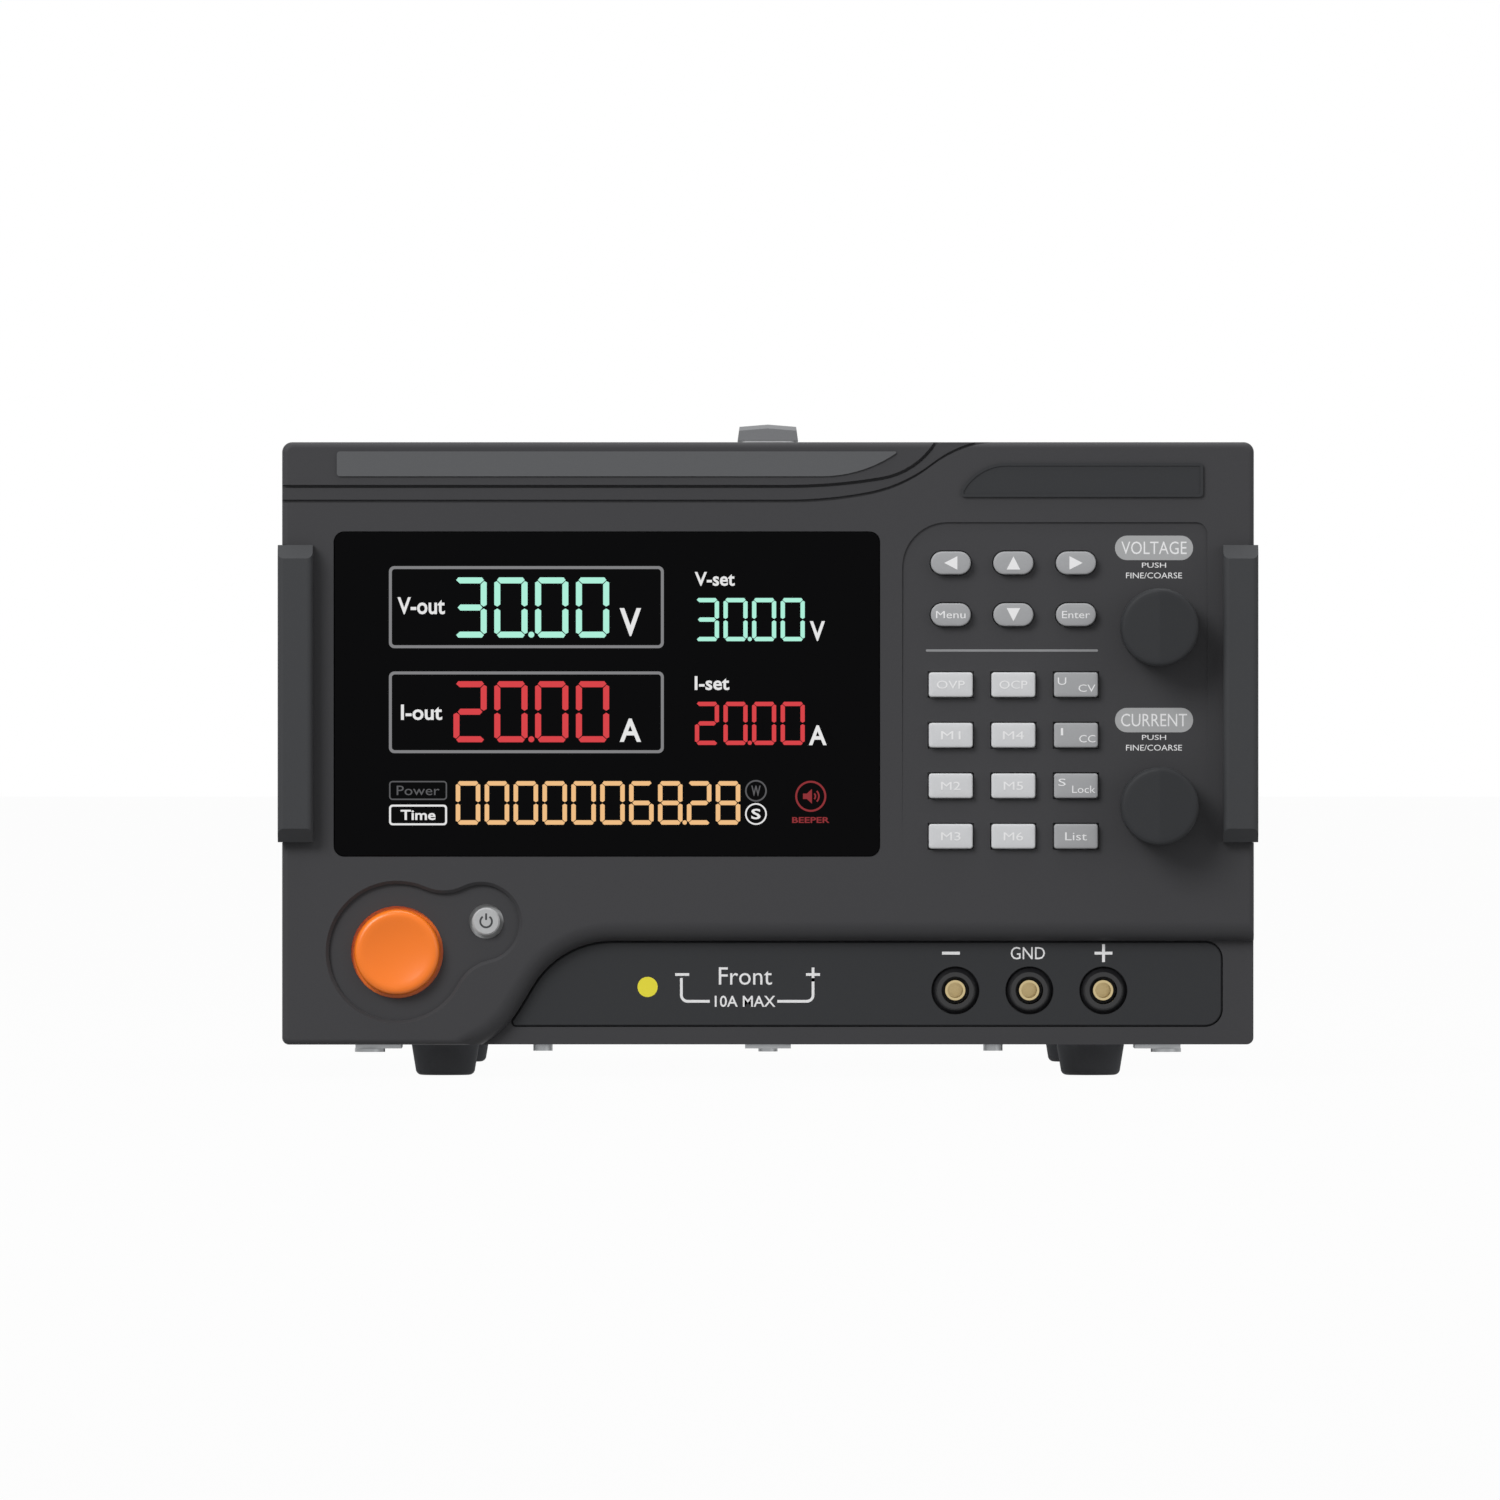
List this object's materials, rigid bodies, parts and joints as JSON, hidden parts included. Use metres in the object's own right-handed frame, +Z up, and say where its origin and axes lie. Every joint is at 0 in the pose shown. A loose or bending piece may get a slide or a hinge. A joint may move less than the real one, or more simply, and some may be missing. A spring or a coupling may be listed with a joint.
{
  "type": "bench power supply",
  "caption": "Bench DC power supply with a moulded front, keypad, knobs, shrouded sockets, folded steel case, strap handle and a working rear panel.",
  "frame": {"origin": "on the floor, under the middle of the part's box", "axes": "+Z up, the front faces -Y, +X to the right seen from the front"},
  "size_m": [0.252, 0.3206, 0.1686],
  "materials": {
    "bezel_plastic": "fine satin moulded",
    "display_acrylic": "polished",
    "display_frame": "matte",
    "strip_film": "satin film",
    "plate_metal": "anodised, satin",
    "panel_plastic": "satin",
    "socket_plastic": "semi-gloss",
    "contact_metal": "plated",
    "grip_rubber": "matte",
    "board_laminate": "solder mask",
    "encoder_metal": "stamped",
    "strap_rubber": "matte",
    "handle_plastic": "satin",
    "pad_plastic": "matte",
    "case_paint": "fine powder coat",
    "chassis_zinc": "zinc plated",
    "foot_rubber": "matte",
    "screw_steel": "zinc plated",
    "transformer_tape": "tape",
    "capacitor_sleeve": "sleeve",
    "heatsink_metal": "extruded, plain",
    "fan_plastic": "satin",
    "guard_chrome": "plated",
    "inlet_plastic": "satin",
    "post_base_plastic": "semi-gloss",
    "post_black_plastic": "semi-gloss",
    "post_red_plastic": "semi-gloss",
    "button_orange": "satin, translucent",
    "power_key_plastic": "satin",
    "rocker_plastic": "semi-gloss",
    "plunger_metal": "plain",
    "knob_plastic": "satin",
    "key_plastic": "satin",
    "key_light_plastic": "satin"
  },
  "bodies": {
    "case": {"front_bezel": "bezel_plastic", "display_window": "display_acrylic", "display_module": "display_frame", "name_strip": "strip_film", "model_plate": "plate_metal", "output_panel": "panel_plastic", "front_jacks": "socket_plastic", "jack_contacts": "contact_metal", "side_grips": "grip_rubber", "front_board": "board_laminate", "encoder_bodies": "encoder_metal", "handle_strap": "strap_rubber", "handle_end_caps": "handle_plastic", "handle_pads": "pad_plastic", "top_cover": "case_paint", "bottom_chassis": "chassis_zinc", "rear_panel": "case_paint", "feet": "foot_rubber", "flange_screws": "screw_steel", "case_screws": "screw_steel", "power_board": "board_laminate", "transformer": "transformer_tape", "capacitors": "capacitor_sleeve", "heatsinks": "heatsink_metal", "fan_frame": "fan_plastic", "fan_guard": "guard_chrome", "mains_inlet": "inlet_plastic", "inlet_pins": "contact_metal", "post_bases": "post_base_plastic", "post_studs": "contact_metal"},
    "key_left": {"key_left": "key_plastic"},
    "key_up": {"key_up": "key_plastic"},
    "key_right": {"key_right": "key_plastic"},
    "key_menu": {"key_menu": "key_plastic"},
    "key_down": {"key_down": "key_plastic"},
    "key_enter": {"key_enter": "key_plastic"},
    "key_ovp": {"key_ovp": "key_light_plastic"},
    "key_ocp": {"key_ocp": "key_light_plastic"},
    "key_cv": {"key_cv": "key_plastic"},
    "key_m1": {"key_m1": "key_light_plastic"},
    "key_m4": {"key_m4": "key_light_plastic"},
    "key_cc": {"key_cc": "key_plastic"},
    "key_m2": {"key_m2": "key_light_plastic"},
    "key_m5": {"key_m5": "key_light_plastic"},
    "key_lock": {"key_lock": "key_plastic"},
    "key_m3": {"key_m3": "key_light_plastic"},
    "key_m6": {"key_m6": "key_light_plastic"},
    "key_list": {"key_list": "key_plastic"},
    "output_button": {"output_button": "button_orange"},
    "power_key": {"power_key": "power_key_plastic"},
    "mains_rocker": {"mains_rocker": "rocker_plastic"},
    "fan_rotor": {"fan_rotor": "fan_plastic"},
    "voltage_plunger": {"voltage_plunger": "plunger_metal"},
    "current_plunger": {"current_plunger": "plunger_metal"},
    "voltage_knob": {"voltage_knob": "knob_plastic"},
    "current_knob": {"current_knob": "knob_plastic"},
    "black_post_washer": {"black_post_washer": "contact_metal"},
    "red_post_washer": {"red_post_washer": "contact_metal"},
    "black_post_nut": {"black_post_nut": "post_black_plastic"},
    "red_post_nut": {"red_post_nut": "post_red_plastic"}
  },
  "joints": [
    {"name": "key_left_push", "type": "slide", "parent": "case", "child": "key_left", "axis": [0, 1, 0], "range_m": [0, 0.001], "stiffness_N_per_m": 600},
    {"name": "key_up_push", "type": "slide", "parent": "case", "child": "key_up", "axis": [0, 1, 0], "range_m": [0, 0.001], "stiffness_N_per_m": 600},
    {"name": "key_right_push", "type": "slide", "parent": "case", "child": "key_right", "axis": [0, 1, 0], "range_m": [0, 0.001], "stiffness_N_per_m": 600},
    {"name": "key_menu_push", "type": "slide", "parent": "case", "child": "key_menu", "axis": [0, 1, 0], "range_m": [0, 0.001], "stiffness_N_per_m": 600},
    {"name": "key_down_push", "type": "slide", "parent": "case", "child": "key_down", "axis": [0, 1, 0], "range_m": [0, 0.001], "stiffness_N_per_m": 600},
    {"name": "key_enter_push", "type": "slide", "parent": "case", "child": "key_enter", "axis": [0, 1, 0], "range_m": [0, 0.001], "stiffness_N_per_m": 600},
    {"name": "key_ovp_push", "type": "slide", "parent": "case", "child": "key_ovp", "axis": [0, 1, 0], "range_m": [0, 0.001], "stiffness_N_per_m": 600},
    {"name": "key_ocp_push", "type": "slide", "parent": "case", "child": "key_ocp", "axis": [0, 1, 0], "range_m": [0, 0.001], "stiffness_N_per_m": 600},
    {"name": "key_cv_push", "type": "slide", "parent": "case", "child": "key_cv", "axis": [0, 1, 0], "range_m": [0, 0.001], "stiffness_N_per_m": 600},
    {"name": "key_m1_push", "type": "slide", "parent": "case", "child": "key_m1", "axis": [0, 1, 0], "range_m": [0, 0.001], "stiffness_N_per_m": 600},
    {"name": "key_m4_push", "type": "slide", "parent": "case", "child": "key_m4", "axis": [0, 1, 0], "range_m": [0, 0.001], "stiffness_N_per_m": 600},
    {"name": "key_cc_push", "type": "slide", "parent": "case", "child": "key_cc", "axis": [0, 1, 0], "range_m": [0, 0.001], "stiffness_N_per_m": 600},
    {"name": "key_m2_push", "type": "slide", "parent": "case", "child": "key_m2", "axis": [0, 1, 0], "range_m": [0, 0.001], "stiffness_N_per_m": 600},
    {"name": "key_m5_push", "type": "slide", "parent": "case", "child": "key_m5", "axis": [0, 1, 0], "range_m": [0, 0.001], "stiffness_N_per_m": 600},
    {"name": "key_lock_push", "type": "slide", "parent": "case", "child": "key_lock", "axis": [0, 1, 0], "range_m": [0, 0.001], "stiffness_N_per_m": 600},
    {"name": "key_m3_push", "type": "slide", "parent": "case", "child": "key_m3", "axis": [0, 1, 0], "range_m": [0, 0.001], "stiffness_N_per_m": 600},
    {"name": "key_m6_push", "type": "slide", "parent": "case", "child": "key_m6", "axis": [0, 1, 0], "range_m": [0, 0.001], "stiffness_N_per_m": 600},
    {"name": "key_list_push", "type": "slide", "parent": "case", "child": "key_list", "axis": [0, 1, 0], "range_m": [0, 0.001], "stiffness_N_per_m": 600},
    {"name": "output_button_push", "type": "slide", "parent": "case", "child": "output_button", "axis": [0, 1, 0], "range_m": [0, 0.0015], "stiffness_N_per_m": 800},
    {"name": "power_key_push", "type": "slide", "parent": "case", "child": "power_key", "axis": [0, 1, 0], "range_m": [0, 0.0008], "stiffness_N_per_m": 600},
    {"name": "voltage_push", "type": "slide", "parent": "case", "child": "voltage_plunger", "axis": [0, 1, 0], "range_m": [0, 0.0005], "stiffness_N_per_m": 900},
    {"name": "voltage_turn", "type": "hinge", "parent": "voltage_plunger", "child": "voltage_knob", "pos_m": [0.1005, -0.14685, 0.1156], "axis": [0, -1, 0], "continuous": true},
    {"name": "current_push", "type": "slide", "parent": "case", "child": "current_plunger", "axis": [0, 1, 0], "range_m": [0, 0.0005], "stiffness_N_per_m": 900},
    {"name": "current_turn", "type": "hinge", "parent": "current_plunger", "child": "current_knob", "pos_m": [0.1005, -0.14685, 0.0697], "axis": [0, -1, 0], "continuous": true},
    {"name": "mains_rocker_tip", "type": "hinge", "parent": "case", "child": "mains_rocker", "pos_m": [-0.095, 0.13285, 0.0803], "axis": [1, 0, 0], "range_deg": [-16, 0]},
    {"name": "fan_spin", "type": "hinge", "parent": "case", "child": "fan_rotor", "pos_m": [0.065, 0.11915, 0.0923], "axis": [0, 1, 0], "continuous": true},
    {"name": "black_post_travel", "type": "slide", "parent": "case", "child": "black_post_washer", "axis": [0, 1, 0], "range_m": [0, 0.004]},
    {"name": "black_post_turn", "type": "hinge", "parent": "black_post_washer", "child": "black_post_nut", "pos_m": [-0.029, 0.14415, 0.0383], "axis": [0, 1, 0], "range_deg": [0, 1440]},
    {"name": "red_post_travel", "type": "slide", "parent": "case", "child": "red_post_washer", "axis": [0, 1, 0], "range_m": [0, 0.004]},
    {"name": "red_post_turn", "type": "hinge", "parent": "red_post_washer", "child": "red_post_nut", "pos_m": [-0.003, 0.14415, 0.0383], "axis": [0, 1, 0], "range_deg": [0, 1440]}
  ],
  "couplings": [
    {"joint": "black_post_turn", "follows": "black_post_travel", "rad_per_m": 6283.2},
    {"joint": "red_post_turn", "follows": "red_post_travel", "rad_per_m": 6283.2}
  ]
}
